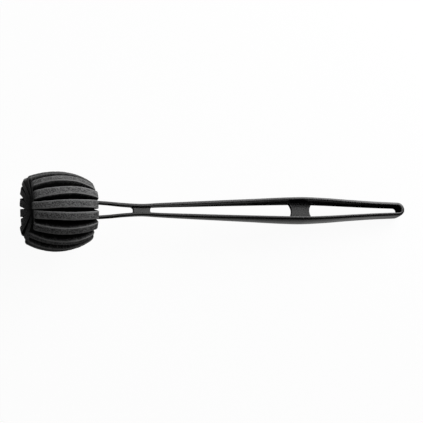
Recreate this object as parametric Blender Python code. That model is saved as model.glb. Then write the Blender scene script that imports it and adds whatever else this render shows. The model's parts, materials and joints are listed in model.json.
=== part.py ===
"""Carafe brush: a moulded open-frame handle whose fork carries a slide-off pack of foam leaves.

The brush is drawn along X, from the far end of its foam head at x = 0 to its hanging loop, with the
handle's broad face up. An empty then tilts it, so that it lies on its head and on the end of its loop.
"""

import math

import bmesh
import bpy
from mathutils import Matrix, Vector

MM = 0.001

# Overall
OVERALL_LENGTH = 401.5 * MM
GAP = 0.3 * MM
OVERRUN = 5 * MM

# Foam head
HEAD_LENGTH = 61.5 * MM
HEAD_RADIUS = 37.2 * MM
HEAD_CROWN = 57 * MM
HEAD_CROWN_STATION = 29 * MM
HEAD_SHOULDER = 3.5 * MM
FAR_END_DISH = 5 * MM
NEAR_END_DISH = 4 * MM
LEAF_THICKNESS = 8 * MM
SLIT_MOUTH = 1.2 * MM
SLIT_ROOT = 0.4 * MM
SLIT_ROOT_HEIGHT = 4.2 * MM
SLIT_ROOT_STEP = 1.1 * MM
REST_FLAT_DEPTH = 0.5 * MM
UNDERSIDE_DEG = 45
# Directions of the eight leaves' front ends from +Z, and of their back ends from -Z, both towards -Y
FRONT_FAN_DEG = (-58, -35, -11, 8, 26, 47, 70, 92)
BACK_FAN_DEG = (-82, -55, -33, -12, 7, 28, 48, 68)

# Handle frame, seen from above
TINE_WIDTH = 16.5 * MM
NECK_WIDTH = 10.7 * MM
MID_WIDTH = 22.9 * MM
TAIL_WIDTH = 13.4 * MM
TINE_TIP = 10 * MM
TINE_LEAD = 3 * MM
NECK_STATION = 112 * MM
MID_STATION = 281.5 * MM

# Handle frame, seen from the side
TINE_DEPTH = 4.8 * MM
NECK_DEPTH = 6.4 * MM
MID_DEPTH = 18.2 * MM
TAIL_DEPTH = 13.6 * MM

# Each knot is a share of the run from one named station to the next, and of the change of size on it
FORK_WIDTH_SHARES = ((0.25, 0.14), (0.61, 0.66))
GRIP_WIDTH_SHARES = ((0.11, 0.145), (0.366, 0.43), (0.673, 0.75), (0.909, 0.975))
LOOP_WIDTH_SHARES = ((0.24, 0.15), (0.50, 0.47), (0.765, 0.80))
FORK_DEPTH_SHARES = ((0.5, 0.45),)
GRIP_DEPTH_SHARES = ((0.366, 0.31), (0.673, 0.68), (0.909, 0.95))
LOOP_DEPTH_SHARES = ((0.24, 0.30), (0.50, 0.66), (0.765, 0.93))

# Handle walls and webs
WALL = 2.1 * MM
LOOP_END_WALL = 3.4 * MM
WALL_CROWN = 0.45 * MM
RIM_ROUND = 0.45 * MM
WEB_THICKNESS = 3.2 * MM
NECK_WEB_LENGTH = 17.5 * MM
MID_WEB_LENGTH = 20 * MM
WEB_CORNER = 2 * MM
WEB_RUN_OUT = 4 * MM

# Fineness of the round and curved stretches
FRAME_STEP = 6 * MM
LOOP_END_STEPS = 14
TIP_TURNS_DEG = (80, 45, 20)
MERGE_DISTANCE = 0.001 * MM
WEB_END_STEPS = 10
BARREL_STEPS = 96
CROWN_STEPS = 16
SHOULDER_STEPS = 4
DISH_STEPS = 4

PLASTIC_COLOUR = (0.022, 0.022, 0.024, 1.0)
PLASTIC_ROUGHNESS = 0.42
FOAM_COLOUR = (0.040, 0.040, 0.042, 1.0)
FOAM_ROUGHNESS = 0.95


def clear_scene():
    """Remove every object, so that the model starts from an empty scene."""
    for old in list(bpy.data.objects):
        bpy.data.objects.remove(old, do_unlink=True)


def principled(name, colour, roughness):
    """A plain Principled material."""
    material = bpy.data.materials.new(name)
    material.use_nodes = True
    shader = material.node_tree.nodes["Principled BSDF"]
    shader.inputs["Base Color"].default_value = colour
    shader.inputs["Roughness"].default_value = roughness
    shader.inputs["Metallic"].default_value = 0.0
    return material


def add_object(name, bm, parent, material=None, sharp_angle=math.radians(30)):
    """Turn a bmesh into a named object under its parent."""
    bmesh.ops.recalc_face_normals(bm, faces=bm.faces)
    mesh = bpy.data.meshes.new(name)
    bm.to_mesh(mesh)
    bm.free()
    mesh.shade_smooth()
    mesh.set_sharp_from_angle(angle=sharp_angle)
    if material:
        mesh.materials.append(material)
    body = bpy.data.objects.new(name, mesh)
    bpy.context.scene.collection.objects.link(body)
    body.parent = parent
    return body


def as_cutter(body):
    """Mark an object as a cutting tool, which is no part of the brush."""
    body.hide_render = True
    body.display_type = "WIRE"
    return body


def add_boolean(body, tool, operation):
    """Cut, keep or join with another solid, by the exact solver."""
    modifier = body.modifiers.new(tool.name, "BOOLEAN")
    modifier.object = tool
    modifier.operation = operation
    modifier.solver = "EXACT"


def box_mesh(low, high):
    """A block between two opposite corners."""
    bm = bmesh.new()
    bmesh.ops.create_cube(bm, size=1.0)
    for vert in bm.verts:
        for axis in range(3):
            share = vert.co[axis] + 0.5
            vert.co[axis] = low[axis] + share * (high[axis] - low[axis])
    return bm


def smooth_value(knots, place):
    """Read a smooth curve that passes through (place, value) knots and never overshoots them."""
    steps = [(b[1] - a[1]) / (b[0] - a[0]) for a, b in zip(knots, knots[1:])]
    slopes = [steps[0]]
    for before, after in zip(steps, steps[1:]):
        together = before * after > 0
        slopes.append(2 * before * after / (before + after) if together else 0.0)
    slopes.append(steps[-1])
    place = min(max(place, knots[0][0]), knots[-1][0])
    for i, (a, b) in enumerate(zip(knots, knots[1:])):
        if place <= b[0]:
            run = b[0] - a[0]
            t = (place - a[0]) / run
            rise = (3 - 2 * t) * t * t
            lead = slopes[i] * t * (1 - t) ** 2 - slopes[i + 1] * t * t * (1 - t)
            return a[1] + (b[1] - a[1]) * rise + run * lead
    return knots[-1][1]


def shared_knots(start, end, shares):
    """Knots between two (place, value) ends, from shares of the run and of the change."""
    return [
        (start[0] + run * (end[0] - start[0]), start[1] + change * (end[1] - start[1]))
        for run, change in shares
    ]


def frame_knots(tine, neck, mid, tail, fork_shares, grip_shares, loop_shares):
    """Knots of one size of the handle's frame, from the tines' tips to the centre of the loop's end."""
    start = (HEAD_LENGTH + TINE_LEAD, tine)
    waist = (NECK_STATION, neck)
    grip = (MID_STATION, mid)
    end = (OVERALL_LENGTH - TAIL_WIDTH / 2, tail)
    knots = [(TINE_TIP, tine), start]
    knots += shared_knots(start, waist, fork_shares) + [waist]
    knots += shared_knots(waist, grip, grip_shares) + [grip]
    return knots + shared_knots(grip, end, loop_shares) + [end]


WIDTH_KNOTS = frame_knots(
    TINE_WIDTH, NECK_WIDTH, MID_WIDTH, TAIL_WIDTH,
    FORK_WIDTH_SHARES, GRIP_WIDTH_SHARES, LOOP_WIDTH_SHARES,
)
DEPTH_KNOTS = frame_knots(
    TINE_DEPTH, NECK_DEPTH, MID_DEPTH, TAIL_DEPTH,
    FORK_DEPTH_SHARES, GRIP_DEPTH_SHARES, LOOP_DEPTH_SHARES,
)


def half_width(station):
    """Half the frame's outer width at a station."""
    return smooth_value(WIDTH_KNOTS, station) / 2


def frame_path():
    """Places along the frame's outer face, from one tine's tip round the loop to the other's.

    Each place is its point in plan, its outward direction, and the frame's depth and wall there.
    """
    loop_radius = TAIL_WIDTH / 2
    loop_centre = OVERALL_LENGTH - loop_radius
    count = round((loop_centre - TINE_TIP) / FRAME_STEP)
    leg = []
    for i in range(count):
        station = TINE_TIP + (loop_centre - TINE_TIP) * i / count
        reach = FRAME_STEP / 4
        slope = (half_width(station + reach) - half_width(station - reach)) / (2 * reach)
        outward = Vector((-slope, 1.0)).normalized()
        depth = smooth_value(DEPTH_KNOTS, station)
        leg.append((Vector((station, half_width(station))), outward, depth, WALL))
    end = []
    for i in range(LOOP_END_STEPS + 1):
        turn = math.pi * i / LOOP_END_STEPS
        outward = Vector((math.sin(turn), math.cos(turn)))
        point = Vector((loop_centre, 0.0)) + outward * loop_radius
        wall = WALL + (LOOP_END_WALL - WALL) * math.sin(turn) ** 2
        end.append((point, outward, TAIL_DEPTH, wall))
    mirror = Vector((1.0, -1.0))
    far_leg = [(p * mirror, n * mirror, depth, wall) for p, n, depth, wall in reversed(leg)]
    return leg + end + far_leg


def wall_section(depth, wall):
    """The wall's section as (outward, height) points, with round rims and a crowned outer face."""
    half = depth / 2
    upper = [
        (-wall, half - RIM_ROUND),
        (RIM_ROUND - wall, half),
        (-WALL_CROWN - RIM_ROUND, half),
        (-WALL_CROWN, half - RIM_ROUND),
        (-WALL_CROWN / 4, half / 2),
    ]
    lower = [(outward, -height) for outward, height in reversed(upper)]
    return upper + [(0.0, 0.0)] + lower


def section_points(place, shrink=1.0):
    """The wall's section at one place of the frame, in three dimensions."""
    point, outward, depth, wall = place
    points = []
    for out, height in wall_section(depth, wall):
        out = -wall / 2 + (out + wall / 2) * shrink
        plan = point + outward * out
        points.append(Vector((plan.x, plan.y, height * shrink)))
    return points


def moved(place, distance):
    """The same place of the frame, carried along the brush."""
    point, outward, depth, wall = place
    return (point + Vector((distance, 0.0)), outward, depth, wall)


def frame_mesh():
    """The frame as one loft round the loop, with rounded tips."""
    path = frame_path()
    turns = [math.radians(degrees) for degrees in TIP_TURNS_DEG]

    def tip(place, turn):
        return section_points(moved(place, -WALL / 2 * math.sin(turn)), math.cos(turn))

    sections = [tip(path[0], turn) for turn in turns]
    sections += [section_points(place) for place in path]
    sections += [tip(path[-1], turn) for turn in reversed(turns)]
    bm = bmesh.new()
    rings = [[bm.verts.new(point) for point in section] for section in sections]
    for ring, after in zip(rings, rings[1:]):
        for i in range(len(ring)):
            j = (i + 1) % len(ring)
            bm.faces.new((ring[i], ring[j], after[j], after[i]))
    bm.faces.new(rings[0])
    bm.faces.new(rings[-1])
    return bm


def web_mesh(centre, length):
    """A thin web across the frame at mid depth, between the round ends of two slots."""
    outline = []
    for side in (-1, 1):
        end = centre + side * length / 2
        inner = half_width(end) - WALL
        radius = inner - min(WEB_CORNER, inner / 4)
        slot_centre = end + side * radius
        edge = half_width(slot_centre + side * WEB_RUN_OUT) - WALL / 2
        outline.append((slot_centre + side * WEB_RUN_OUT, side * edge))
        for i in range(WEB_END_STEPS + 1):
            turn = math.pi * (i / WEB_END_STEPS - 0.5)
            x = slot_centre - side * radius * math.cos(turn)
            outline.append((x, -side * radius * math.sin(turn)))
        outline.append((slot_centre + side * WEB_RUN_OUT, -side * edge))
        middle_edge = half_width(centre) - WALL / 2
        outline.append((centre, -side * middle_edge))
    bm = bmesh.new()
    verts = [bm.verts.new((x, y, -WEB_THICKNESS / 2)) for x, y in outline]
    face = bm.faces.new(verts)
    lifted = bmesh.ops.extrude_face_region(bm, geom=[face])["geom"]
    top = [item for item in lifted if isinstance(item, bmesh.types.BMVert)]
    bmesh.ops.translate(bm, verts=top, vec=(0.0, 0.0, WEB_THICKNESS))
    return bm


def build_handle(parent, plastic):
    """The one-piece moulded handle: the frame with its neck web and mid web."""
    handle = add_object("handle", frame_mesh(), parent, plastic)
    for name, centre, length in (
        ("neck_web", NECK_STATION, NECK_WEB_LENGTH),
        ("mid_web", MID_STATION, MID_WEB_LENGTH),
    ):
        web = as_cutter(add_object(name, web_mesh(centre, length), parent))
        add_boolean(handle, web, "UNION")
    return handle


def shoulder_height(inset):
    """Distance from the axis to the centre of the small arc that rounds one end of the head."""
    return HEAD_RADIUS - HEAD_CROWN + math.sqrt((HEAD_CROWN - HEAD_SHOULDER) ** 2 - inset**2)


def end_profile(crown_distance, dish):
    """One end of the head's outline as (depth from the end, radius) points, and the crown's turn there."""
    inset = crown_distance - HEAD_SHOULDER
    height = shoulder_height(inset)
    lean = math.atan2(inset, height - HEAD_RADIUS + HEAD_CROWN)
    points = []
    for i in range(DISH_STEPS):
        share = i / DISH_STEPS
        points.append((dish * (1 - share**2), height * share))
    for i in range(SHOULDER_STEPS + 1):
        turn = math.pi / 2 + (lean - math.pi / 2) * i / SHOULDER_STEPS
        x = HEAD_SHOULDER * (1 - math.sin(turn))
        points.append((x, height + HEAD_SHOULDER * math.cos(turn)))
    return points, lean


def head_profile():
    """Half of the head's outline as (x, radius) points, from the far end's middle to the near end's."""
    far_end, far_lean = end_profile(HEAD_CROWN_STATION, FAR_END_DISH)
    near_end, near_lean = end_profile(HEAD_LENGTH - HEAD_CROWN_STATION, NEAR_END_DISH)
    profile = list(far_end)
    for i in range(1, CROWN_STEPS):
        turn = -far_lean + (far_lean + near_lean) * i / CROWN_STEPS
        x = HEAD_CROWN_STATION + HEAD_CROWN * math.sin(turn)
        profile.append((x, HEAD_RADIUS - HEAD_CROWN * (1 - math.cos(turn))))
    return profile + [(HEAD_LENGTH - depth, radius) for depth, radius in reversed(near_end)]


def barrel_mesh():
    """The whole head's envelope, turned about the brush's axis."""
    bm = bmesh.new()
    verts = [bm.verts.new((x, 0.0, radius)) for x, radius in head_profile()]
    edges = [bm.edges.new(pair) for pair in zip(verts, verts[1:])]
    bmesh.ops.spin(
        bm, geom=verts + edges, cent=(0.0, 0.0, 0.0), axis=(1.0, 0.0, 0.0),
        angle=math.tau, steps=BARREL_STEPS, use_merge=True,
    )
    bmesh.ops.remove_doubles(bm, verts=bm.verts, dist=MERGE_DISTANCE)
    return bm


def fan(angle_deg, side):
    """A leaf end's direction in the (y, z) plane, and the direction towards the next leaf."""
    turn = math.radians(angle_deg)
    along = Vector((-math.sin(turn), side * math.cos(turn)))
    across = Vector((-math.cos(turn), -side * math.sin(turn)))
    return along, across


def slit_sides(index, angles, side):
    """Both walls of the slit after a leaf on one side: root and mouth, for that leaf and for the next.

    The slit starts between the tines, where the leaves are pinched flat, and bends out to its mouth,
    where the two leaf ends reach their full thickness.
    """
    count = len(angles)
    pitch = (TINE_WIDTH - 2 * WALL) / count
    steps_in = min(index + 1, count - 1 - index) - 1
    height = SLIT_ROOT_HEIGHT + SLIT_ROOT_STEP * steps_in
    root = Vector((pitch * (count / 2 - 1 - index), side * height))
    half_turn = math.radians(angles[index + 1] - angles[index]) / 2
    along, across = fan((angles[index] + angles[index + 1]) / 2, side)
    mouth = along * ((LEAF_THICKNESS + SLIT_MOUTH) / 2 / math.sin(half_turn))
    rising = Vector((-1.0, 0.0))
    run = (mouth - root).normalized()
    leaning = Vector((-run.y * side, run.x * side))
    mitre = (rising + leaning) / (1 + rising.dot(leaning)) * (SLIT_ROOT / 2)
    mouth_offset = across * (SLIT_MOUTH / 2)
    return (root - mitre, mouth - mouth_offset), (root + mitre, mouth + mouth_offset)


def outer_notch(index):
    """The notch between the front and back ends of an outermost leaf, which wraps round its tine."""
    front, _ = fan(FRONT_FAN_DEG[index], 1)
    back, _ = fan(BACK_FAN_DEG[index], -1)
    half_turn = front.angle(back) / 2
    return (front + back).normalized() * (LEAF_THICKNESS / 2 / math.sin(half_turn))


def leaf_outline(index):
    """One leaf's section in the (y, z) plane: front end, pinched waist and back end."""
    reach = HEAD_RADIUS + OVERRUN
    half = LEAF_THICKNESS / 2
    front, front_across = fan(FRONT_FAN_DEG[index], 1)
    back, back_across = fan(BACK_FAN_DEG[index], -1)
    last = len(FRONT_FAN_DEG) - 1
    before = [outer_notch(index)]
    if index > 0:
        _, (front_root, front_mouth) = slit_sides(index - 1, FRONT_FAN_DEG, 1)
        _, (back_root, back_mouth) = slit_sides(index - 1, BACK_FAN_DEG, -1)
        before = [front_mouth, front_root, back_root, back_mouth]
    after = [outer_notch(index)]
    if index < last:
        (front_root, front_mouth), _ = slit_sides(index, FRONT_FAN_DEG, 1)
        (back_root, back_mouth), _ = slit_sides(index, BACK_FAN_DEG, -1)
        after = [back_mouth, back_root, front_root, front_mouth]
    outline = [front * reach - front_across * half] + before + [back * reach - back_across * half]
    return outline + [back * reach + back_across * half] + after + [front * reach + front_across * half]


def leaf_mesh(index):
    """A leaf as a straight run of its section, longer than the head at both ends."""
    bm = bmesh.new()
    verts = [bm.verts.new((-OVERRUN, point.x, point.y)) for point in leaf_outline(index)]
    face = bm.faces.new(verts)
    drawn = bmesh.ops.extrude_face_region(bm, geom=[face])["geom"]
    end = [item for item in drawn if isinstance(item, bmesh.types.BMVert)]
    bmesh.ops.translate(bm, verts=end, vec=(HEAD_LENGTH + 2 * OVERRUN, 0.0, 0.0))
    return bm


def tine_socket_mesh(side):
    """The space that one tine needs inside the foam, straight so that the pack slides off it."""
    outer = TINE_WIDTH / 2 + GAP
    inner = TINE_WIDTH / 2 - WALL - GAP
    low = (TINE_TIP - WALL / 2 - GAP, min(side * inner, side * outer), -TINE_DEPTH / 2 - GAP)
    high = (HEAD_LENGTH + OVERRUN, max(side * inner, side * outer), TINE_DEPTH / 2 + GAP)
    return box_mesh(low, high)


def build_foam_pack(parent, foam, floor):
    """Eight foam leaves, pinched side by side in the fork, whose ends fan out all round."""
    barrel = as_cutter(add_object("head_envelope", barrel_mesh(), parent))
    sockets = {
        side: as_cutter(add_object(name, tine_socket_mesh(side), parent))
        for side, name in ((1, "left_tine_socket"), (-1, "right_tine_socket"))
    }
    last = len(FRONT_FAN_DEG) - 1
    for index in range(len(FRONT_FAN_DEG)):
        leaf = add_object(f"foam_leaf_{index + 1}", leaf_mesh(index), parent, foam)
        add_boolean(leaf, barrel, "INTERSECT")
        if index in (0, last):
            add_boolean(leaf, sockets[1 if index == 0 else -1], "DIFFERENCE")
        if abs(BACK_FAN_DEG[index]) < UNDERSIDE_DEG:
            add_boolean(leaf, floor, "DIFFERENCE")


def crown_middle():
    """Centre of the arc along the underside of the head."""
    return Vector((HEAD_CROWN_STATION, 0.0, HEAD_CROWN - HEAD_RADIUS))


def frame_points():
    """Every corner of the frame's loft, apart from its rounded tips."""
    return [point for place in frame_path() for point in section_points(place)]


def rest_angle():
    """The tilt at which the loop's end touches the floor while the head stands on its flat."""
    rise = HEAD_CROWN - REST_FLAT_DEPTH
    middle = crown_middle()
    angles = []
    for point in frame_points():
        ahead = point.x - middle.x
        drop = middle.z - point.z
        reach = math.hypot(ahead, drop)
        if reach > rise:
            angles.append(math.asin(rise / reach) - math.atan2(drop, ahead))
    return min(angle for angle in angles if angle > 0)


def resting_place(tilt):
    """Where the far end of the brush's axis lies, so that the origin is under the middle of the brush."""
    turn = Matrix.Rotation(tilt, 3, "Y")
    height = shoulder_height(HEAD_CROWN_STATION - HEAD_SHOULDER)
    shoulder = turn @ Vector((HEAD_SHOULDER, 0.0, -height))
    far = shoulder.x - HEAD_SHOULDER
    near = max((turn @ point).x for point in frame_points())
    lowest = (turn @ crown_middle()).z - HEAD_CROWN + REST_FLAT_DEPTH
    return Vector((-(far + near) / 2, 0.0, -lowest))


def main():
    """Build the brush and lay it down."""
    clear_scene()
    plastic = principled("black_moulded_plastic", PLASTIC_COLOUR, PLASTIC_ROUGHNESS)
    foam = principled("charcoal_open_cell_foam", FOAM_COLOUR, FOAM_ROUGHNESS)
    tilt = rest_angle()
    brush = bpy.data.objects.new("brush", None)
    bpy.context.scene.collection.objects.link(brush)
    brush.rotation_euler = (0.0, tilt, 0.0)
    brush.location = resting_place(tilt)
    print(f"tilt {math.degrees(tilt):.4f} degrees, far end at {tuple(brush.location)}")
    block = box_mesh(
        (-OVERALL_LENGTH, -OVERALL_LENGTH, -OVERALL_LENGTH), (OVERALL_LENGTH, OVERALL_LENGTH, 0.0)
    )
    floor = as_cutter(add_object("floor_line", block, None))
    build_handle(brush, plastic)
    build_foam_pack(brush, foam, floor)


main()
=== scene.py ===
"""Carafe brush: a moulded open-frame handle whose fork carries a head of eight foam leaves.

The brush is shaped along its own axis, from the far end of the head at station 0 to the hanging loop,
with the handle's broad face up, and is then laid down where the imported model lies. Lengths are metres.
"""

import json
import logging
import math
from collections.abc import Callable, Iterable, Sequence
from dataclasses import dataclass
from enum import Enum

import bmesh
import bpy
from mathutils import Matrix, Vector, noise


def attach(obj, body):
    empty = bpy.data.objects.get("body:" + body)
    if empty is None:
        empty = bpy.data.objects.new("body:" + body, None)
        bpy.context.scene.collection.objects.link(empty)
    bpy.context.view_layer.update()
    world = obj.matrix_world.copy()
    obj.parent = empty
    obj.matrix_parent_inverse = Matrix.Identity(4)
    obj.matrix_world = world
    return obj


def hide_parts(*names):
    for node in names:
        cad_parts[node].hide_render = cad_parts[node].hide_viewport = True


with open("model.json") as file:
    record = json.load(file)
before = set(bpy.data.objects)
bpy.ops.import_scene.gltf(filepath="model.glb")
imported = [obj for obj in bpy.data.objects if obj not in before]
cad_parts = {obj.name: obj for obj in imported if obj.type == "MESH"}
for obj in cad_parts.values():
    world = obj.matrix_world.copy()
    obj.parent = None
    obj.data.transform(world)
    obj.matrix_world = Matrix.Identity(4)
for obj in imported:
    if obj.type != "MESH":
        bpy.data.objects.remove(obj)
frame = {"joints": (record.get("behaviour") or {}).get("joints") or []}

LOG = logging.getLogger("carafe_brush")
MM = 0.001

# On a block from -1 to 1, what lies beyond this lies on a face.
ON_FACE = 0.99

# Where the brush's axis meets the head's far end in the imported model.
FAR_END = Vector((-199.072 * MM, 0.0, 39.105 * MM))

Knots = Sequence[tuple[float, float]]
Outline = list[tuple[float, float]]
Span = tuple[float, float]


class Tone(Enum):
    """Colours of the brush and its set, as sRGB hex."""

    PLASTIC_DEEP = "0f0f0f"
    PLASTIC_FACE = "171717"
    FOAM_PIT = "2b2b2b"
    FOAM_STRAND = "7c7c7c"
    # Painted highlight for the foam's cut edges and some far ends.
    FOAM_EDGE_HIGHLIGHT = "969696"
    # Painted shade for the foam between the leaves and in the middle of the end faces.
    FOAM_SHADE = "1e1e1e"
    WHITE = "ffffff"
    FLOOR = "848484"


def linear(tone: Tone) -> tuple[float, float, float, float]:
    """Turn a tone into linear light.

    Args:
        tone: A colour held as sRGB hex.

    Returns:
        Red, green, blue and an alpha of 1.
    """
    parts = [int(tone.value[i:i + 2], 16) / 255 for i in (0, 2, 4)]
    red, green, blue = (
        part / 12.92 if part <= 0.04045 else ((part + 0.055) / 1.055) ** 2.4 for part in parts
    )
    return red, green, blue, 1.0


def add_node(
    tree: bpy.types.NodeTree,
    kind: str,
    values: dict[str | int, object] | None = None,
    links: dict[str | int, bpy.types.NodeSocket] | None = None,
    **settings: object,
) -> bpy.types.Node:
    """Add a node with its settings and links.

    Args:
        tree: The node tree that gets it.
        kind: Blender's name of the node type.
        values: Values of its inputs, by name or number.
        links: Sockets that feed its inputs, by name or number.
        settings: The node's own properties.

    Returns:
        The new node.
    """
    node = tree.nodes.new(kind)
    for name, value in settings.items():
        setattr(node, name, value)
    for name, value in (values or {}).items():
        node.inputs[name].default_value = value
    for name, socket in (links or {}).items():
        tree.links.new(socket, node.inputs[name])
    return node


def ramp(
    tree: bpy.types.NodeTree, value: bpy.types.NodeSocket, span: Span, ends: Span = (0.0, 1.0)
) -> bpy.types.NodeSocket:
    """Add a node that maps a value from one span to another, and holds it beyond both ends.

    Args:
        tree: The node tree that gets it.
        value: The socket that it reads.
        span: The two values that it maps from.
        ends: What it makes of them.

    Returns:
        Its result.
    """
    values = {"From Min": span[0], "From Max": span[1], "To Min": ends[0], "To Max": ends[1]}
    return add_node(tree, "ShaderNodeMapRange", values, {"Value": value}).outputs["Result"]


def smooth_value(knots: Knots, place: float) -> float:
    """Read a smooth curve that passes through its knots and never overshoots them.

    Args:
        knots: Pairs of place and value, in order of place.
        place: Where to read it.

    Returns:
        The curve's value there.
    """
    steps = [(b[1] - a[1]) / (b[0] - a[0]) for a, b in zip(knots, knots[1:])]
    slopes = [steps[0]]
    for before, after in zip(steps, steps[1:]):
        together = before * after > 0
        slopes.append(2 * before * after / (before + after) if together else 0.0)
    slopes.append(steps[-1])
    place = min(max(place, knots[0][0]), knots[-1][0])
    for i, (a, b) in enumerate(zip(knots, knots[1:])):
        if place <= b[0]:
            run = b[0] - a[0]
            t = (place - a[0]) / run
            rise = (3 - 2 * t) * t * t
            lead = slopes[i] * t * (1 - t) ** 2 - slopes[i + 1] * t * t * (1 - t)
            return a[1] + (b[1] - a[1]) * rise + run * lead
    return knots[-1][1]


def bezier(points: Sequence[Vector], t: float) -> Vector:
    """Read a Bezier curve of any order.

    Args:
        points: The points that pull it, in order.
        t: Where to read it, from 0 to 1.

    Returns:
        The curve's point there.
    """
    while len(points) > 1:
        points = [a.lerp(b, t) for a, b in zip(points, points[1:])]
    return points[0]


def reshape(bm: bmesh.types.BMesh, law: Callable[[Vector], Vector]) -> None:
    """Move every vertex of a mesh to where a law puts it."""
    for vert in bm.verts:
        vert.co = law(vert.co.copy())


def slab(cuts: tuple[int, int, int]) -> bmesh.types.BMesh:
    """A closed block from -1 to 1 on each axis, cut into strips.

    Args:
        cuts: How many cuts cross each axis.

    Returns:
        The block, of quads alone.
    """
    bm = bmesh.new()
    bmesh.ops.create_cube(bm, size=2.0)
    for axis, count in enumerate(cuts):
        along = [e for e in bm.edges if abs(e.verts[0].co[axis] - e.verts[1].co[axis]) > 1.0]
        bmesh.ops.subdivide_edges(bm, edges=along, cuts=count, use_grid_fill=True)
    return bm


def tube(sides: int, rings: int) -> bmesh.types.BMesh:
    """A closed tube of unit radius along Z, with one ring at each whole number from 0.

    Args:
        sides: How many corners each ring has.
        rings: How many rings there are.

    Returns:
        The tube, with a flat cap at each end.
    """
    bm = bmesh.new()
    bmesh.ops.create_cone(
        bm, cap_ends=True, cap_tris=False, segments=sides, radius1=1.0, radius2=1.0, depth=1.0
    )
    along = [e for e in bm.edges if abs(e.verts[0].co.z - e.verts[1].co.z) > 0.5]
    bmesh.ops.subdivide_edges(bm, edges=along, cuts=rings - 2)
    for vert in bm.verts:
        vert.co.z = round((vert.co.z + 0.5) * (rings - 1))
    return bm


@dataclass(frozen=True)
class Lie:
    """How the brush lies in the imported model."""

    far_end: Vector
    slide: Vector

    @property
    def matrix(self) -> Matrix:
        """From the brush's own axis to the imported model's frame."""
        tilt = math.atan2(self.slide.z, -self.slide.x)
        return Matrix.Translation(self.far_end) @ Matrix.Rotation(tilt, 4, "Y")

    @property
    def along(self) -> Vector:
        """The direction from the head to the loop."""
        return -self.slide.normalized()

    @property
    def facing(self) -> Vector:
        """The direction that the handle's broad face looks in."""
        return self.along.cross(Vector((0.0, 1.0, 0.0)))


def make_piece(name: str, bm: bmesh.types.BMesh, lie: Lie, crease_deg: float) -> bpy.types.Object:
    """Lay a mesh down with the brush and make it an object at the origin.

    Args:
        name: The piece's name.
        bm: Its mesh, along the brush's own axis. It is freed.
        lie: How the brush lies.
        crease_deg: Edges sharper than this stay crisp.

    Returns:
        The new object.
    """
    bmesh.ops.transform(bm, matrix=lie.matrix, verts=bm.verts)
    bmesh.ops.recalc_face_normals(bm, faces=bm.faces)
    mesh = bpy.data.meshes.new(name)
    bm.to_mesh(mesh)
    bm.free()
    mesh.shade_smooth()
    mesh.set_sharp_from_angle(angle=math.radians(crease_deg))
    piece = bpy.data.objects.new(name, mesh)
    bpy.context.scene.collection.objects.link(piece)
    return piece


def combine(piece: bpy.types.Object, tool: bpy.types.Object, operation: str) -> None:
    """Join or cut a piece with another solid, and take that one away.

    Args:
        piece: The piece that stays.
        tool: The solid that is used up.
        operation: Blender's name of what is done with it.
    """
    modifier = piece.modifiers.new("combine", "BOOLEAN")
    modifier.object = tool
    modifier.operation = operation
    modifier.solver = "EXACT"
    bpy.context.view_layer.update()
    evaluated = piece.evaluated_get(bpy.context.evaluated_depsgraph_get())
    mesh = bpy.data.meshes.new_from_object(evaluated)
    piece.modifiers.clear()
    piece.data = mesh
    bpy.data.objects.remove(tool)


@dataclass(frozen=True)
class MouldedPolypropylene:
    """Black polypropylene out of a fine spark-eroded mould.

    The eye gets a deep black with a satin grey sheen wherever it turns to the light, and a very fine grain.
    """

    slot: str = "handle_plastic"
    grain: float = 0.9 * MM
    flow: float = 6 * MM
    grain_depth: float = 0.02 * MM
    bump_strength: float = 0.35
    gloss_span: Span = (0.3, 0.7)
    roughness: Span = (0.2, 0.34)
    ior: float = 1.49

    def material(self) -> bpy.types.Material:
        """Build the finish as a node material.

        The real grain of 0.1 mm is drawn coarser, so that it shows.

        Returns:
            The new material.
        """
        made = bpy.data.materials.new("moulded_polypropylene")
        made.use_nodes = True
        tree = made.node_tree
        shader = tree.nodes["Principled BSDF"]
        place = add_node(tree, "ShaderNodeTexCoord").outputs["Object"]
        grain = add_node(
            tree, "ShaderNodeTexNoise", {"Scale": 1 / self.grain, "Detail": 3.0, "Roughness": 0.6},
            {"Vector": place},
        )
        flow = add_node(
            tree, "ShaderNodeTexNoise", {"Scale": 1 / self.flow, "Detail": 2.0}, {"Vector": place}
        )
        tint = add_node(
            tree, "ShaderNodeMix", {"A": linear(Tone.PLASTIC_DEEP), "B": linear(Tone.PLASTIC_FACE)},
            {"Factor": flow.outputs["Fac"]}, data_type="RGBA",
        )
        patchy = add_node(
            tree, "ShaderNodeMix", {"Factor": 0.5}, {"A": grain.outputs["Fac"], "B": flow.outputs["Fac"]}
        )
        gloss = ramp(tree, patchy.outputs["Result"], self.gloss_span, self.roughness)
        bump = add_node(
            tree, "ShaderNodeBump", {"Strength": self.bump_strength, "Distance": self.grain_depth},
            {"Height": grain.outputs["Fac"]},
        )
        tree.links.new(tint.outputs["Result"], shader.inputs["Base Color"])
        tree.links.new(gloss, shader.inputs["Roughness"])
        tree.links.new(bump.outputs["Normal"], shader.inputs["Normal"])
        shader.inputs["IOR"].default_value = self.ior
        return made


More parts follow.
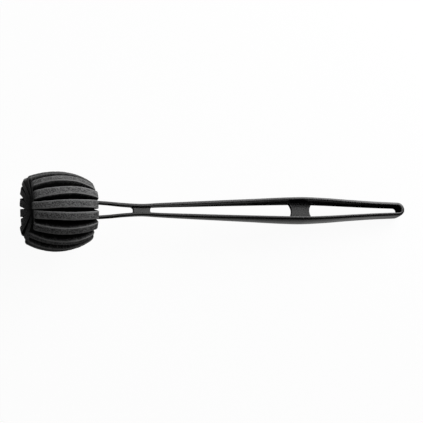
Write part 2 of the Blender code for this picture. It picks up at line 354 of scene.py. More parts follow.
@dataclass(frozen=True)
class OpenCellFoam:
    """Charcoal polyurethane foam, die-cut from an 8 mm sheet.

    The eye gets a matt, dry grey speckled with open pores, with a painted highlight along cut edges, where
    they would catch the light, and painted shade, almost black, down between the leaves.
    """

    slot: str = "head_foam"
    cell: float = 1.2 * MM
    cloud: float = 5 * MM
    pore_depth: float = 0.35 * MM
    bump_strength: float = 0.6
    strand_span: Span = (0.15, 0.75)
    cloud_level: float = 0.55
    roughness: float = 1.0
    sheen: float = 0.15
    # The leaves carry their painted highlight and painted shade in these attributes.
    highlight_name: str = "edge_highlight"
    shade_name: str = "inside"

    def material(self) -> bpy.types.Material:
        """Build the finish as a node material.

        The real cells of 0.6 mm are drawn coarser, so that they show.

        Returns:
            The new material.
        """
        made = bpy.data.materials.new("open_cell_foam")
        made.use_nodes = True
        tree = made.node_tree
        shader = tree.nodes["Principled BSDF"]
        place = add_node(tree, "ShaderNodeTexCoord").outputs["Object"]
        cells = add_node(
            tree, "ShaderNodeTexVoronoi", {"Scale": 1 / self.cell, "Randomness": 1.0},
            {"Vector": place}, feature="F1",
        )
        cloud = add_node(
            tree, "ShaderNodeTexNoise", {"Scale": 1 / self.cloud, "Detail": 5.0, "Roughness": 0.7},
            {"Vector": place},
        )
        strand = ramp(tree, cells.outputs["Distance"], self.strand_span)
        spread = add_node(
            tree, "ShaderNodeMath", {1: self.cloud_level},
            {0: cloud.outputs["Fac"]}, operation="SUBTRACT",
        )
        speckle = add_node(
            tree, "ShaderNodeMath", {}, {0: strand, 1: spread.outputs[0]},
            operation="ADD", use_clamp=True,
        )
        body = add_node(
            tree, "ShaderNodeMix", {"A": linear(Tone.FOAM_PIT), "B": linear(Tone.FOAM_STRAND)},
            {"Factor": speckle.outputs[0]}, data_type="RGBA",
        )
        # Painted highlight: the edge attribute lightens the colour.
        edge = add_node(tree, "ShaderNodeAttribute", attribute_name=self.highlight_name)
        highlighted = add_node(
            tree, "ShaderNodeMix", {"B": linear(Tone.FOAM_EDGE_HIGHLIGHT)},
            {"Factor": edge.outputs["Fac"], "A": body.outputs["Result"]}, data_type="RGBA",
        )
        # Painted shade: the inside attribute darkens the colour towards almost black.
        inside = add_node(tree, "ShaderNodeAttribute", attribute_name=self.shade_name)
        shaded = add_node(
            tree, "ShaderNodeMix", {"B": linear(Tone.FOAM_SHADE)},
            {"Factor": inside.outputs["Fac"], "A": highlighted.outputs["Result"]}, data_type="RGBA",
        )
        bump = add_node(
            tree, "ShaderNodeBump", {"Strength": self.bump_strength, "Distance": self.pore_depth},
            {"Height": cells.outputs["Distance"]},
        )
        tree.links.new(shaded.outputs["Result"], shader.inputs["Base Color"])
        tree.links.new(bump.outputs["Normal"], shader.inputs["Normal"])
        shader.inputs["Roughness"].default_value = self.roughness
        shader.inputs["Specular IOR Level"].default_value = self.sheen
        return made


@dataclass(frozen=True)
class Place:
    """One place on the outer face of the handle's wall, seen from above.

    The wall's section there is drawn in by its shrink, which closes the tines' tips.
    """

    point: Vector
    outward: Vector
    depth: float
    wall: float
    shrink: float = 1.0


@dataclass(frozen=True)
class Web:
    """A thin web that joins the handle's two walls, set low in them, with both ends dished by its hollow.

    Its ends lean towards the loop by the slant for each metre towards +Y.
    """

    station: float
    length: float
    hollow: float
    low: float
    slant: float = 0.1


@dataclass(frozen=True)
class Handle:
    """The one-piece moulded handle: a long frame of thin walls, two webs and a hanging loop.

    Widths, depths, walls and rises go by station. The roundings of the upper rims' outer edges go by the
    wall's depth: how far they reach across the rim, and how far they drop down the face.
    """

    lie: Lie
    finish: MouldedPolypropylene
    length: float = 400.1 * MM
    tine_tip: float = 10 * MM
    loop_radius: float = 6.7 * MM
    proud: float = 0.5 * MM
    loop_end_wall: float = 4.3 * MM
    outer_crown: float = 0.3 * MM
    inner_crown: float = 0.25 * MM
    inner_round: float = 0.75 * MM
    lower_round: float = 0.8 * MM
    full_depth: float = 12 * MM
    crease_deg: float = 40
    rim_steps: int = 6
    side_steps: int = 8
    step: float = 2.5 * MM
    loop_steps: int = 36
    tip_turns_deg: tuple[float, ...] = (85, 65, 45, 25)
    webs: tuple[Web, ...] = (
        Web(112 * MM, 16.9 * MM, 1.4 * MM, 0.8 * MM), Web(282.6 * MM, 20 * MM, 4.6 * MM, 2.6 * MM),
    )
    web_thickness: float = 3.2 * MM
    web_corner: float = 0.9 * MM
    web_edge_round: float = 0.35 * MM
    web_least_rise: float = 0.2 * MM
    web_cuts: tuple[int, int, int] = (18, 56, 1)
    web_share: float = 0.8
    widths: Knots = (
        (10 * MM, 16.5 * MM), (64.5 * MM, 16.5 * MM), (76.4 * MM, 15.3 * MM), (93.5 * MM, 12.2 * MM),
        (112 * MM, 10.35 * MM), (130.6 * MM, 12.2 * MM), (174 * MM, 15.95 * MM),
        (226.1 * MM, 19.85 * MM), (266.1 * MM, 22.7 * MM), (281.5 * MM, 23.3 * MM),
        (308.7 * MM, 21.8 * MM), (338.2 * MM, 18.44 * MM), (368.2 * MM, 15.3 * MM),
        (394.8 * MM, 13.4 * MM),
    )
    depths: Knots = (
        (10 * MM, 4.8 * MM), (64.5 * MM, 4.8 * MM), (88.3 * MM, 5.52 * MM), (112 * MM, 6.4 * MM),
        (174 * MM, 10.06 * MM), (226.1 * MM, 14.42 * MM), (266.1 * MM, 18.2 * MM),
        (281.5 * MM, 18.8 * MM), (308.7 * MM, 17.2 * MM), (338.2 * MM, 14.7 * MM),
        (368.2 * MM, 13.3 * MM), (394.8 * MM, 12.9 * MM),
    )
    walls: Knots = (
        (10 * MM, 2.7 * MM), (86 * MM, 2.8 * MM), (130.6 * MM, 2.95 * MM), (174 * MM, 3.3 * MM),
        (281.5 * MM, 3.3 * MM), (320 * MM, 3.55 * MM), (394.8 * MM, 3.4 * MM),
    )
    outer_rounds: Knots = (
        (6 * MM, 2.2 * MM), (12 * MM, 2.2 * MM), (17 * MM, 1.45 * MM), (19 * MM, 1.6 * MM),
    )
    outer_drops: Knots = (
        (6 * MM, 0.5 * MM), (12 * MM, 0.6 * MM), (17 * MM, 1.4 * MM), (19 * MM, 1.4 * MM),
    )
    rises: Knots = (
        (10 * MM, 0.5 * MM), (112 * MM, 0.4 * MM), (174 * MM, 0.1 * MM), (281.5 * MM, 0.1 * MM),
        (338.2 * MM, 0.8 * MM), (394.8 * MM, 1.2 * MM),
    )

    def half_width(self, station: float) -> float:
        """Half the frame's outer width at a station."""
        return smooth_value(self.widths, station) / 2 + self.proud

    def depth(self, station: float) -> float:
        """The walls' depth at a station."""
        return smooth_value(self.depths, station)

    def wall(self, station: float) -> float:
        """The walls' thickness at a station."""
        return smooth_value(self.walls, station)

    def rise(self, station: float) -> float:
        """How far the frame's middle lies above the brush's axis at a station."""
        return smooth_value(self.rises, station)

    def places(self) -> list[Place]:
        """Lay out the frame seen from above.

        Returns:
            Places along it, from one tine's tip round the loop to the other's.
        """
        centre = self.length - self.loop_radius
        count = round((centre - self.tine_tip) / self.step)
        leg = []
        for i in range(count):
            station = self.tine_tip + (centre - self.tine_tip) * i / count
            slope = (self.half_width(station + MM) - self.half_width(station - MM)) / (2 * MM)
            leg.append(Place(
                Vector((station, self.half_width(station))), Vector((-slope, 1.0)).normalized(),
                self.depth(station), self.wall(station),
            ))
        end = []
        for i in range(self.loop_steps + 1):
            turn = math.pi * i / self.loop_steps
            outward = Vector((math.sin(turn), math.cos(turn)))
            wall = self.wall(centre)
            wall += (self.loop_end_wall - wall) * math.sin(turn) ** 2
            point = Vector((centre, 0.0)) + outward * (self.loop_radius + self.proud)
            end.append(Place(point, outward, self.depth(centre), wall))
        tip = []
        first = leg[0]
        for degrees in self.tip_turns_deg:
            turn = math.radians(degrees)
            point = first.point - Vector((first.wall / 2 * math.sin(turn), 0.0))
            tip.append(Place(point, first.outward, first.depth, first.wall, math.cos(turn)))
        leg = tip + leg
        flip = Vector((1.0, -1.0))
        back = [Place(p.point * flip, p.outward * flip, p.depth, p.wall, p.shrink) for p in reversed(leg)]
        return leg + end + back

    def rim(
        self, top: float, wall: float, swell: float, inner: float, across: float, drop: float
    ) -> Outline:
        """One rim of the wall's section, with both edges rounded.

        Args:
            top: The rim's height.
            wall: The wall's thickness.
            swell: How far the outer face swells past the rim.
            inner: The inner edge's radius.
            across: How far the outer edge's rounding reaches across the rim.
            drop: How far it drops down the outer face.

        Returns:
            Points of (outward, height), from the inner face to the outer one.
        """
        points = []
        for i in range(self.rim_steps + 1):
            turn = math.pi / 2 * i / self.rim_steps
            points.append((-wall + inner * (1 - math.cos(turn)), top - inner * (1 - math.sin(turn))))
        for i in range(self.rim_steps + 1):
            turn = math.pi / 2 * (1 - i / self.rim_steps)
            points.append((-swell - across * (1 - math.cos(turn)), top - drop * (1 - math.sin(turn))))
        return points

    def section(self, depth: float, wall: float) -> Outline:
        """Draw the wall's section.

        The upper rim is well rounded, flatter where the walls are shallow, and the lower one less so. Both
        faces swell a little towards mid depth, as the mould's draft leaves them.

        Args:
            depth: The wall's depth.
            wall: Its thickness.

        Returns:
            Its closed outline, in points of (outward, height).
        """
        half = depth / 2
        fullness = min(1.0, depth / self.full_depth)
        outer, inner = self.outer_crown * fullness, self.inner_crown * fullness
        across, drop = smooth_value(self.outer_rounds, depth), smooth_value(self.outer_drops, depth)
        upper = self.rim(half, wall, outer, self.inner_round, across, drop)
        low = self.lower_round
        lower = [(out, -high) for out, high in self.rim(half, wall, outer, low, low, low)]
        outer_side, inner_side = [], []
        for i in range(1, self.side_steps):
            share = i / self.side_steps
            bow = 1 - (2 * share - 1) ** 2
            height = upper[-1][1] + (lower[-1][1] - upper[-1][1]) * share
            outer_side.append((-outer * (1 - bow), height))
            height = lower[0][1] + (upper[0][1] - lower[0][1]) * share
            inner_side.append((-wall - inner * bow, height))
        return upper + outer_side + lower[::-1] + inner_side

    def wall_mesh(self) -> bmesh.types.BMesh:
        """Sweep the wall's section round the frame.

        Returns:
            One closed band, from one tine round the loop to the other.
        """
        places = self.places()
        sections = [self.section(place.depth, place.wall) for place in places]
        sides = len(sections[0])
        bm = tube(sides, len(places))

        def law(co: Vector) -> Vector:
            place = places[round(co.z)]
            corner = round(math.atan2(co.y, co.x) / math.tau * sides) % sides
            out, height = sections[round(co.z)][corner]
            out = -place.wall / 2 + (out + place.wall / 2) * place.shrink
            plan = place.point + place.outward * out
            return Vector((plan.x, plan.y, height * place.shrink + self.rise(plan.x)))

        reshape(bm, law)
        return bm

    def web_mesh(self, web: Web) -> bmesh.types.BMesh:
        """Shape a web between two dished slot ends, which thickens into the walls with a fillet.

        Args:
            web: Where it lies and how it is cut.

        Returns:
            The web, which ends in the middle of both walls.
        """
        bm = slab(self.web_cuts)
        ends = (web.station - web.length / 2, web.station + web.length / 2)
        inners = [self.half_width(station) - self.wall(station) for station in ends]

        def law(co: Vector) -> Vector:
            inner = inners[0 if co.x < 0 else 1]
            radius = (inner**2 + web.hollow**2) / (2 * web.hollow)
            turn = math.asin(inner / radius) * min(abs(co.y) / self.web_share, 1.0)
            station = web.station + co.x * (web.length / 2 + radius * (1 - math.cos(turn)))
            across = radius * math.sin(turn)
            if abs(co.y) > self.web_share:
                edge = self.half_width(station) - self.wall(station) / 2
                across += (edge - across) * (abs(co.y) - self.web_share) / (1 - self.web_share)
            clear = self.half_width(station) - self.wall(station) - self.inner_crown - across
            share = min(max(1 - clear / self.web_corner, 0.0), 1.0)
            room = self.depth(station) / 2 - self.inner_round - self.web_thickness / 2
            rise = min(self.web_corner, max(room, self.web_least_rise))
            height = self.web_thickness / 2 + rise * (1 - math.sqrt(1 - share**2))
            across = math.copysign(across, co.y)
            return Vector((station + web.slant * across, across, co.z * height - web.low))

        rims = [
            e for e in bm.edges
            if all(abs(v.co.x) > ON_FACE and abs(v.co.z) > ON_FACE for v in e.verts)
        ]
        reshape(bm, law)
        bmesh.ops.bevel(
            bm, geom=rims, offset=self.web_edge_round, offset_type="OFFSET", affect="EDGES",
            segments=3, profile=0.5, material=-1, clamp_overlap=True,
        )
        return bm

    def build(self) -> bpy.types.Object:
        """Mould the handle and dress it.

        Returns:
            The handle, on its own body.
        """
        handle = make_piece("moulded_handle", self.wall_mesh(), self.lie, self.crease_deg)
        for web in self.webs:
            combine(handle, make_piece("web", self.web_mesh(web), self.lie, self.crease_deg), "UNION")
        handle.data.materials.clear()
        handle.data.materials.append(self.finish.material())
        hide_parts("handle")
        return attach(handle, "handle")


@dataclass(frozen=True)
class Fan:
    """How one leaf lies in the head.

    The front end's direction is given from +Z and the back end's from -Z, both towards -Y. The twist is how
    far the front end turns from the middle of the head to either end. The leaf is pushed along the fork by
    its shift and turned in its own plane by its skew. It stands out by its reach, and its corners by far
    and near as well. The back half's far corner has back_far on top. The far ends of its halves are drawn
    in along the fork by front_in and back_in. The front half is thicker by its swell, its far end by its
    flare as well, and the back half's far end by its back_flare, all as shares of the thickness. Its shade
    is painted shade, which darkens the front half away from the far end, and its end_pale is a painted
    highlight, which makes its far end's face paler.
    """

    front_deg: float
    back_deg: float
    twist_deg: float = 0.0
    shift: float = 0.0
    skew_deg: float = 0.0
    reach: float = 0.0
    far: float = 0.0
    near: float = 0.0
    back_far: float = 0.0
    front_in: float = 0.0
    back_in: float = 0.0
    swell: float = 0.0
    flare: float = 0.0
    back_flare: float = 0.0
    shade: float = 0.0
    end_pale: float = 0.0


@dataclass(frozen=True)
class FoamHead:
    """Eight foam leaves, pinched side by side in the fork, whose ends fan out to the front and back.

    Each is cut flat, with a crowned rim and dished ends, and is then bent into its place. Its colour carries
    painted shade by how deep a point lies: the side faces darken towards inside_to as a share of the rim,
    with streaks, and the end faces from pinch_reach inwards, as a share of the radius. Its cut edges, and
    the far ends of leaves with an end_pale, carry a painted highlight.
    """

    lie: Lie
    finish: OpenCellFoam
    length: float = 61.5 * MM
    radius: float = 37.2 * MM
    crown: float = 57 * MM
    crown_station: float = 29 * MM
    shoulder: float = 3.5 * MM
    far_dish: float = 5 * MM
    near_dish: float = 4 * MM
    thickness: float = 7.4 * MM
    mouth_gap: float = 2.6 * MM
    root_gap: float = 0.4 * MM
    fork_width: float = 16.5 * MM
    tine_wall: float = 2.5 * MM
    tine_depth: float = 4.8 * MM
    tine_tip: float = 10 * MM
    clearance: float = 0.3 * MM
    edge_round: float = 0.5 * MM
    crease_deg: float = 60
    mesh_step: float = 1.25 * MM
    cut_within: float = 0.01 * MM
    end_steps: int = 12
    shoulder_steps: int = 6
    crown_steps: int = 28
    root_pull: float = 0.38
    mouth_pull: float = 0.4
    notch_pull: float = 0.3
    notch_past: float = 0.6
    press: float = 0.8 * MM
    ripple: float = 0.12 * MM
    ripple_length: float = 34 * MM
    ripple_phase: float = 1.7
    rough: float = 0.16 * MM
    rough_length: float = 2.2 * MM
    inside_to: float = 0.9
    streak: float = 0.9
    streak_length: float = 1.5 * MM
    pinch_reach: float = 0.75
    shade_from: float = 12 * MM
    end_share: float = 0.97
    pale_from: float = 0.4
    pale_run: float = 0.35
    corner_power: float = 6.0
    flare_power: float = 3.0
    fans: tuple[Fan, ...] = (
        Fan(
            -58, -82, reach=-1.2 * MM, far=3.8 * MM, near=-0.6 * MM, back_far=-1.6 * MM,
            back_in=-1.2 * MM, back_flare=0.3, shade=0.35, end_pale=1.0,
        ),
        Fan(
            -35.4, -57, shift=-0.4 * MM, reach=-0.3 * MM, far=1.4 * MM, near=-1 * MM,
            front_in=2 * MM, back_in=-0.4 * MM, back_flare=0.15, end_pale=0.6,
        ),
        Fan(-12.1, -33, twist_deg=-2.7, shift=0.6 * MM, skew_deg=1.6, flare=0.25),
        Fan(8.5, -12, twist_deg=-2, shift=0.5 * MM, front_in=-1.5 * MM, flare=-0.08),
        Fan(26.6, 7.5, twist_deg=0.7, shift=0.9 * MM, skew_deg=0.4),
        Fan(49.6, 28.5, twist_deg=1.3, skew_deg=2.8, swell=-0.08, back_flare=0.42),
        Fan(73, 48, twist_deg=1.5, skew_deg=-2.6, reach=0.3 * MM, swell=-0.3, back_flare=0.42),
        Fan(93, 68, reach=1.5 * MM, far=1.8 * MM, near=0.8 * MM),
    )

    def end_profile(self, crown_distance: float, dish: float) -> tuple[Outline, float]:
        """One end of a leaf's cut outline.

        Args:
            crown_distance: From the crown's top to this end.
            dish: How far the end's middle lies inside it.

        Returns:
            Points of (depth from the end, radius), and the crown's turn where it meets them.
        """
        inset = crown_distance - self.shoulder
        bow = math.sqrt((self.crown - self.shoulder) ** 2 - inset**2)
        height = self.radius - self.crown + bow
        lean = math.atan2(inset, bow)
        steps = self.end_steps
        points = [(dish * (1 - (i / steps) ** 2), height * i / steps) for i in range(steps)]
        for i in range(self.shoulder_steps + 1):
            turn = math.pi / 2 + (lean - math.pi / 2) * i / self.shoulder_steps
            points.append((self.shoulder * (1 - math.sin(turn)), height + self.shoulder * math.cos(turn)))
        return points, lean

    def half_outline(self) -> Outline:
        """Draw the front half of a leaf's cut outline.

        Returns:
            Points of (station, radius), from the far end's middle to the near end's.
        """
        far, far_lean = self.end_profile(self.crown_station, self.far_dish)
        near, near_lean = self.end_profile(self.length - self.crown_station, self.near_dish)
        outline = list(far)
        for i in range(1, self.crown_steps):
            turn = -far_lean + (far_lean + near_lean) * i / self.crown_steps
            station = self.crown_station + self.crown * math.sin(turn)
            outline.append((station, self.radius - self.crown * (1 - math.cos(turn))))
        return outline + [(self.length - depth, radius) for depth, radius in reversed(near)]

    def sheet_mesh(self) -> bmesh.types.BMesh:
        """Die-cut one leaf, still flat.

        Returns:
            The leaf, with stations along X and the distance from its fold along Y.
        """
        front = self.half_outline()
        outline = front + [(x, -y) for x, y in reversed(front[1:-1])]
        bm = bmesh.new()
        bmesh.ops.create_circle(bm, cap_ends=True, segments=len(outline), radius=1.0)
        for vert in bm.verts:
            corner = round(math.atan2(vert.co.y, vert.co.x) / math.tau * len(outline)) % len(outline)
            vert.co = (*outline[corner], -self.thickness / 2)
        drawn = bmesh.ops.extrude_face_region(bm, geom=list(bm.faces))["geom"]
        top = [item for item in drawn if isinstance(item, bmesh.types.BMVert)]
        bmesh.ops.translate(bm, verts=top, vec=(0.0, 0.0, self.thickness))
        rims = [e for e in bm.edges if abs(e.verts[0].co.z - e.verts[1].co.z) < MM]
        rim = bm.faces.layers.int.new("rim")
        rounded = bmesh.ops.bevel(
            bm, geom=rims, offset=self.edge_round, offset_type="OFFSET", affect="EDGES",
            segments=2, profile=0.5, material=-1, clamp_overlap=True,
        )["faces"]
        for face in rounded:
            face[rim] = 1
        corner_top = self.thickness / 2 - self.edge_round / 2
        spans = (
            (Vector((1.0, 0.0, 0.0)), 0.0, self.length),
            (Vector((0.0, 1.0, 0.0)), -self.radius, self.radius),
            (Vector((0.0, 0.0, 1.0)), -corner_top + self.edge_round, corner_top - self.edge_round),
        )
        for normal, low, high in spans:
            count = round((high - low) / self.mesh_step)
            for i in range(1, count):
                geom = [*bm.verts, *bm.edges, *bm.faces]
                at = normal * (low + (high - low) * i / count)
                bmesh.ops.bisect_plane(bm, geom=geom, dist=self.cut_within, plane_co=at, plane_no=normal)
        bm.verts.layers.float.new(self.finish.shade_name)
        # Painted highlight along the rounded cut edges, by the share of a point's faces that are rounded.
        edge_highlight = bm.verts.layers.float.new(self.finish.highlight_name)
        for vert in bm.verts:
            vert[edge_highlight] = sum(face[rim] for face in vert.link_faces) / len(vert.link_faces)
        return bm

    def end_deg(self, index: int, half: int, station: float) -> float:
        """Find the direction of one of a leaf's ends.

        Args:
            index: The leaf's number, from 0 at +Y.
            half: 1 for the front half, -1 for the back.
            station: Where along the head it is read.

        Returns:
            Degrees from +Z for the front end and from -Z for the back one, towards -Y.
        """
        fan = self.fans[index]
        if half < 0:
            return fan.back_deg
        return fan.front_deg + fan.twist_deg * (2 * station / self.length - 1)

    def fan(self, degrees: float, half: int) -> tuple[Vector, Vector]:
        """Turn an end's direction into the section plane.

        Args:
            degrees: The direction, as end_deg gives it.
            half: 1 for the front half, -1 for the back.

        Returns:
            The direction along the leaf, and the one across it towards the next leaf.
        """
        turn = math.radians(degrees)
        along = Vector((-math.sin(turn), half * math.cos(turn)))
        return along, Vector((-math.cos(turn), -half * math.sin(turn)))

    def side_line(self, index: int, half: int, side: int, station: float) -> Callable[[float], Vector]:
        """One face of a leaf's front or back half, in the section plane at a station.

        Args:
            index: The leaf's number, from 0 at +Y.
            half: 1 for the front half, -1 for the back.
            side: -1 for the face towards the leaf before, 1 for the one towards the next.
            station: Where the section is.

        Returns:
            A law from the distance along the leaf to a point of its face.
        """
        count = len(self.fans)
        degrees = self.end_deg(index, half, station)
        along, across = self.fan(degrees, half)
        swell = across * (side * self.thickness / 2)
        beside = index + side
        if 0 <= beside < count:
            half_turn = math.radians(abs(self.end_deg(beside, half, station) - degrees)) / 2
            mouth = (self.thickness + self.mouth_gap) / 2 / math.tan(half_turn)
            pitch = (self.fork_width - 2 * self.tine_wall) / count
            root = pitch * (count / 2 - max(index, beside)) - side * self.root_gap / 2
            start = Vector((root, 0.0))
            end = along * mouth + swell
            run = (end - start).length
            from_root = start + Vector((0.0, half * self.root_pull * run))
            points = [start, from_root, end - along * (self.mouth_pull * run), end]
        else:
            other, other_across = self.fan(self.end_deg(index, -half, station), -half)
            half_turn = along.angle(other) / 2
            notch = (along + other).normalized() * (self.thickness / 2 / math.sin(half_turn))
            mouth = notch.dot(along) + self.thickness * self.notch_past
            end = along * mouth + swell
            far = other * (notch.dot(other) + self.thickness * self.notch_past)
            far += other_across * (side * self.thickness / 2)
            middle = notch.lerp((end + far) / 2, 0.5)
            points = [middle, middle.lerp(notch, self.notch_pull), notch.lerp(end, 0.5), end]

        def law(distance: float) -> Vector:
            if distance >= mouth:
                return along * distance + swell
            return bezier(points, distance / mouth)

        return law

    def tint(self, bm: bmesh.types.BMesh, index: int) -> None:
        """Write down the painted shade and painted highlight of each point of a flat leaf.

        Args:
            bm: The leaf's mesh, still flat.
            index: Its number, from 0 at +Y.
        """
        fan = self.fans[index]
        inside = bm.verts.layers.float[self.finish.shade_name]
        edge = bm.verts.layers.float[self.finish.highlight_name]
        crown = [(x, y) for x, y in self.half_outline() if y > self.radius / 2]
        for vert in bm.verts:
            station, reach = vert.co.x, abs(vert.co.y) / self.radius
            share = abs(vert.co.y) / smooth_value(crown, station)
            # Painted shade on the side faces, deepening from the rim down into the clefts between leaves,
            # with streaks.
            streak_at = Vector((station / self.streak_length, vert.co.z / MM, index))
            cleft_shade = (1 - share) / (1 - self.inside_to) * (1 + self.streak * noise.noise(streak_at))
            on_side = abs(vert.co.z) > self.thickness / 2 - self.edge_round
            at_end = min(station, self.length - station) < self.far_dish + self.shoulder
            # Painted shade on the end faces, deepening towards the middle.
            end_shade = 1 - reach / self.pinch_reach
            # Painted shade on the front half of a leaf with a shade, away from the far end.
            shade = fan.shade * min(station / self.shade_from, 1.0) if vert.co.y > 0 else 0.0
            vert[inside] = min(max(cleft_shade if on_side else end_shade if at_end else 0.0, shade), 1.0)
            # Painted highlight on the far end faces of leaves with an end_pale, towards their rim.
            if at_end and station < self.length / 2 and share < self.end_share:
                outer = min((reach - self.pale_from) / self.pale_run, 1.0)
                vert[edge] = max(vert[edge], fan.end_pale * outer)
            vert[edge] *= 1.0 - vert[inside]

    def roughen(self, bm: bmesh.types.BMesh, index: int) -> None:
        """Make a bent leaf's faces uneven, and press flat what would reach below the floor.

        Args:
            bm: The leaf's mesh, bent.
            index: Its number, from 0 at +Y.
        """
        bmesh.ops.recalc_face_normals(bm, faces=bm.faces)
        bm.normal_update()
        grain_at = Vector((index, 0, 0))
        lay, lift = self.lie.matrix, self.lie.matrix.inverted()
        for vert in bm.verts:
            lump = self.rough * noise.noise(vert.co / self.rough_length + grain_at)
            placed = lay @ (vert.co + vert.normal * lump)
            if placed.z < self.press:
                placed.z = self.press * math.exp(placed.z / self.press - 1)
            vert.co = lift @ placed

    def leaf_mesh(self, sheet: bmesh.types.BMesh, index: int) -> bmesh.types.BMesh:
        """Bend a flat leaf into its place in the fan.

        Args:
            sheet: The flat leaf, which stays as it is.
            index: The leaf's number, from 0 at +Y.

        Returns:
            The bent leaf.
        """
        bm = sheet.copy()
        fan = self.fans[index]
        lines: dict[tuple[int, int, float], Callable[[float], Vector]] = {}
        skew = math.radians(fan.skew_deg)

        def face_point(half: int, side: int, station: float, distance: float) -> Vector:
            key = (half, side, round(station / MM, 2))
            if key not in lines:
                lines[key] = self.side_line(index, half, side, station)
            return lines[key](distance)

        def law(co: Vector) -> Vector:
            half = 1 if co.y >= 0 else -1
            share = co.x / self.length
            reach = abs(co.y) / self.radius
            far = fan.far if half > 0 else fan.far + fan.back_far
            corner = far * (1 - share) ** self.corner_power + fan.near * share**self.corner_power
            grown = abs(co.y) + (fan.reach + corner) * reach**2
            grown += half * skew * (co.x - self.length / 2) * -reach
            before, after = (face_point(half, side, co.x, grown) for side in (-1, 1))
            swell, flare = (fan.swell, fan.flare) if half > 0 else (0.0, fan.back_flare)
            puff = swell + flare * (1 - share) ** self.flare_power
            point = before.lerp(after, co.z / self.thickness * (1 + puff * reach**2) + 0.5)
            sideways = self.fan(self.end_deg(index, half, co.x), half)[1]
            turn = co.x / self.ripple_length * math.tau + self.ripple_phase * index + half
            point = point + sideways * (self.ripple * math.sin(turn)) * reach**2
            drawn = (fan.front_in if half > 0 else fan.back_in) * (1 - share)
            return Vector((co.x + (fan.shift + drawn) * reach + skew * co.y, point.x, point.y))

        self.tint(bm, index)
        reshape(bm, law)
        self.roughen(bm, index)
        return bm

    def socket_mesh(self, side: int) -> bmesh.types.BMesh:
        """Shape the straight socket that one tine of the fork fills.

        Args:
            side: 1 for the tine at +Y, -1 for the other.

        Returns:
            A block that goes out through the head's near end.
        """
        bm = slab((0, 0, 0))
        low = self.tine_tip - self.tine_wall / 2 - self.clearance
        middle = (low + self.length + self.far_dish) / 2
        size = Vector((
            middle - low, self.tine_wall / 2 + self.clearance, self.tine_depth / 2 + self.clearance
        ))
        centre = Vector((middle, side * (self.fork_width - self.tine_wall) / 2, 0.0))
        reshape(bm, lambda co: centre + co * size)
        return bm

    def build(self) -> list[bpy.types.Object]:
        """Cut, bend and dress all eight leaves.

        Returns:
            The leaves, on the head's body.
        """
        sheet = self.sheet_mesh()
        material = self.finish.material()
        leaves = []
        last = len(self.fans) - 1
        for index in range(last + 1):
            name = f"soft_leaf_{index + 1}"
            leaf = make_piece(name, self.leaf_mesh(sheet, index), self.lie, self.crease_deg)
            if index in (0, last):
                socket_mesh = self.socket_mesh(1 if index == 0 else -1)
                combine(leaf, make_piece("socket", socket_mesh, self.lie, self.crease_deg), "DIFFERENCE")
            leaf.data.materials.clear()
            leaf.data.materials.append(material)
            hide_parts(f"foam_leaf_{index + 1}")
            leaves.append(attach(leaf, "foam_head"))
        sheet.free()
        return leaves


@dataclass(frozen=True)
class Lamp:
    """One soft square lamp: its direction from the brush, its distance, its size and its power in watts."""

    name: str
    direction: Vector
    distance: float
    size: float
    power: float


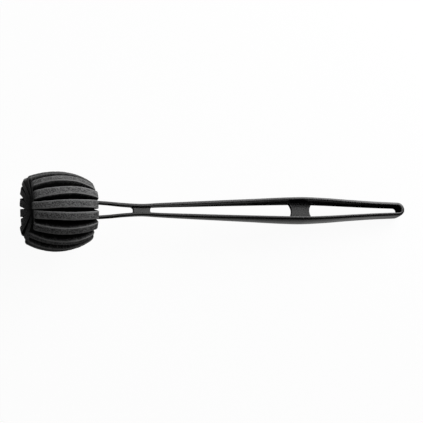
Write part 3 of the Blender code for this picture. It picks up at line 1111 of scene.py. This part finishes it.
@dataclass(frozen=True)
class Studio:
    """The plain set: a white floor, soft light from above and behind, and the camera.

    In the handle's gloss the floor is a painted reflection: painted shadow under the handle, a painted glow
    beside it between shade_reach and glow_reach, dark again beyond, and painted shadow by the head along
    head_shade.
    """

    lie: Lie
    aim_station: float = 184.3 * MM
    distance: float = 1083 * MM
    focal_px: float = 1100.0
    picture_px: int = 423
    sensor: float = 36.0
    forward_deg: float = 22.0
    sideways_deg: float = 18.0
    roll_deg: float = 0.13
    lower_px: float = 1.0
    floor_half: float = 3.0
    floor_drop: float = 0.2 * MM
    floor_glow: float = 0.95
    mirror_glow: float = 0.56
    shade_reach: Span = (6 * MM, 11 * MM)
    glow_reach: Span = (14 * MM, 25 * MM)
    head_shade: Span = (-105 * MM, -85 * MM)
    world_level: float = 0.105
    world_gloss: float = 0.03
    lamps: tuple[Lamp, ...] = (
        Lamp("key", Vector((0.63, 0.67, 0.42)), 1.3, 1.1, 21.0),
        Lamp("overhead", Vector((0.32, 0.22, 0.92)), 1.3, 0.58, 2.5),
        Lamp("fill", Vector((-0.66, 0.45, 0.6)), 1.3, 0.8, 0.5),
    )

    @property
    def aim(self) -> Vector:
        """The point on the brush's axis that the camera looks at."""
        return self.lie.matrix @ Vector((self.aim_station, 0.0, 0.0))

    def camera(self) -> None:
        """Set the camera, steeply above the handle's broad face."""
        forward, sideways = math.radians(self.forward_deg), math.radians(self.sideways_deg)
        level = self.lie.facing * math.cos(sideways) + Vector((0.0, -1.0, 0.0)) * math.sin(sideways)
        back = level * math.cos(forward) - self.lie.along * math.sin(forward)
        right = (self.lie.along - back * self.lie.along.dot(back)).normalized()
        right = Matrix.Rotation(math.radians(self.roll_deg), 3, back) @ right
        up = back.cross(right)
        aim = self.aim - up * (self.lower_px * self.distance / self.focal_px)
        data = bpy.data.cameras.new("camera")
        data.sensor_width = self.sensor
        data.lens = self.focal_px * self.sensor / self.picture_px
        camera = bpy.data.objects.new("camera", data)
        turn = Matrix((right, up, back)).transposed()
        camera.matrix_world = Matrix.Translation(aim + back * self.distance) @ turn.to_4x4()
        bpy.context.scene.collection.objects.link(camera)
        bpy.context.scene.camera = camera

    def floor(self) -> None:
        """Lay the floor, which the camera sees as white with a faint shadow on it."""
        bm = bmesh.new()
        bmesh.ops.create_grid(bm, x_segments=1, y_segments=1, size=self.floor_half)
        bmesh.ops.translate(bm, verts=bm.verts, vec=(0.0, 0.0, -self.floor_drop))
        mesh = bpy.data.meshes.new("floor")
        bm.to_mesh(mesh)
        bm.free()
        floor = bpy.data.objects.new("floor", mesh)
        bpy.context.scene.collection.objects.link(floor)
        made = bpy.data.materials.new("white_floor")
        made.use_nodes = True
        tree = made.node_tree
        tree.nodes.clear()
        rays = add_node(tree, "ShaderNodeLightPath").outputs
        place = add_node(tree, "ShaderNodeTexCoord").outputs["Object"]
        axes = add_node(tree, "ShaderNodeSeparateXYZ", {}, {0: place}).outputs
        # Painted reflection for gloss: the floor glows beside the handle, with painted shadow under it and
        # by the head.
        beside = add_node(tree, "ShaderNodeMath", {}, {0: axes["Y"]}, operation="ABSOLUTE")
        bright = ramp(tree, beside.outputs[0], self.shade_reach, (0.0, self.mirror_glow))
        fade = ramp(tree, beside.outputs[0], self.glow_reach, (1.0, 0.0))
        clear = ramp(tree, axes["X"], self.head_shade)
        faded = add_node(tree, "ShaderNodeMath", {}, {0: bright, 1: fade}, operation="MULTIPLY")
        level = add_node(
            tree, "ShaderNodeMath", {}, {0: faded.outputs[0], 1: clear}, operation="MULTIPLY"
        )
        mirror = add_node(
            tree, "ShaderNodeEmission", {"Color": linear(Tone.WHITE)}, {"Strength": level.outputs[0]}
        )
        dull = add_node(tree, "ShaderNodeBsdfDiffuse", {"Color": linear(Tone.FLOOR)})
        grey = add_node(
            tree, "ShaderNodeMixShader", {},
            {0: rays["Is Glossy Ray"], 1: dull.outputs[0], 2: mirror.outputs[0]},
        )
        white = add_node(tree, "ShaderNodeBsdfDiffuse", {"Color": linear(Tone.WHITE)})
        glow = add_node(tree, "ShaderNodeEmission", {"Color": linear(Tone.WHITE)})
        seen = add_node(
            tree, "ShaderNodeMixShader", {0: self.floor_glow}, {1: white.outputs[0], 2: glow.outputs[0]}
        )
        both = add_node(
            tree, "ShaderNodeMixShader", {},
            {0: rays["Is Camera Ray"], 1: grey.outputs[0], 2: seen.outputs[0]},
        )
        add_node(tree, "ShaderNodeOutputMaterial", {}, {0: both.outputs[0]})
        mesh.materials.append(made)

    def light(self) -> None:
        """Hang the soft lamps and set the room's own light."""
        world = bpy.data.worlds.new("room")
        bpy.context.scene.world = world
        world.use_nodes = True
        tree = world.node_tree
        tree.nodes.clear()
        rays = add_node(tree, "ShaderNodeLightPath").outputs
        room, dusk, white = (
            add_node(tree, "ShaderNodeBackground", {"Color": linear(Tone.WHITE), "Strength": level})
            for level in (self.world_level, self.world_gloss, 1.0)
        )
        unseen = add_node(
            tree, "ShaderNodeMixShader", {},
            {0: rays["Is Glossy Ray"], 1: room.outputs[0], 2: dusk.outputs[0]},
        )
        both = add_node(
            tree, "ShaderNodeMixShader", {},
            {0: rays["Is Camera Ray"], 1: unseen.outputs[0], 2: white.outputs[0]},
        )
        add_node(tree, "ShaderNodeOutputWorld", {}, {0: both.outputs[0]})
        for lamp in self.lamps:
            data = bpy.data.lights.new(lamp.name, "AREA")
            data.shape = "SQUARE"
            data.size = lamp.size
            data.energy = lamp.power
            hung = bpy.data.objects.new(lamp.name, data)
            direction = lamp.direction.normalized()
            hung.rotation_mode = "QUATERNION"
            hung.rotation_quaternion = direction.to_track_quat("Z", "Y")
            hung.location = self.aim + direction * lamp.distance
            bpy.context.scene.collection.objects.link(hung)

    def build(self) -> None:
        """Set up the whole studio."""
        self.camera()
        self.floor()
        self.light()
        bpy.context.scene.view_settings.view_transform = "Standard"


def main() -> None:
    """Build the brush and its studio."""
    logging.basicConfig(level=logging.INFO, format="%(name)s: %(message)s")
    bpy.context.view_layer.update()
    lie = Lie(FAR_END, Vector(frame["joints"][0]["axis"]))
    handle = Handle(lie, MouldedPolypropylene()).build()
    LOG.info("%s: %d faces", handle.name, len(handle.data.polygons))
    for leaf in FoamHead(lie, OpenCellFoam()).build():
        LOG.info("%s: %d faces", leaf.name, len(leaf.data.polygons))
    Studio(lie).build()


if __name__ == "__main__":
    main()
